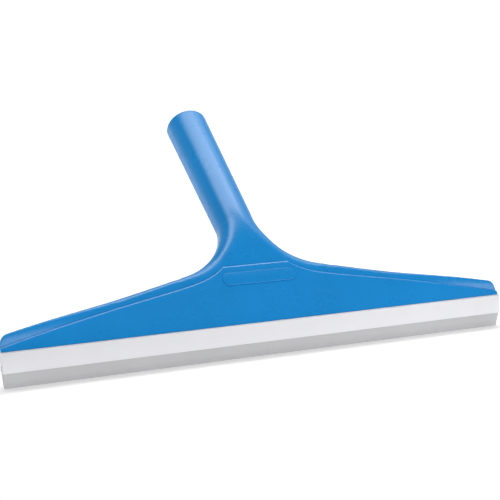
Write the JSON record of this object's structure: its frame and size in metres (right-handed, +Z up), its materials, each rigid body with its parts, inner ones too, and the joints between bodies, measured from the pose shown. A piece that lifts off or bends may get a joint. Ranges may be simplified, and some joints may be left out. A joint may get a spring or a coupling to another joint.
{
  "type": "window cleaning squeegee",
  "caption": "Hand squeegee head: a moulded plastic body with a leaning handle socket, and a wiping blade that slides into a channel along its lower edge.",
  "frame": {"origin": "middle of the wiping edge, at the bottom of the lip", "axes": "+X along the blade, +Y to the back, the way the handle socket leans, +Z up from the wiping edge"},
  "size_m": [0.35, 0.1698, 0.1464],
  "materials": {
    "head_plastic": "satin moulded polypropylene, blue",
    "carrier_plastic": "smooth extruded plastic, white",
    "lip_rubber": "soft smooth elastomer, grey"
  },
  "bodies": {
    "head": {"head": "head_plastic"},
    "blade": {"blade_carrier": "carrier_plastic", "wiping_lip": "lip_rubber"}
  },
  "joints": [
    {"name": "blade_slide", "type": "slide", "parent": "head", "child": "blade", "axis": [1, 0, 0], "range_m": [0, 0.35]}
  ]
}
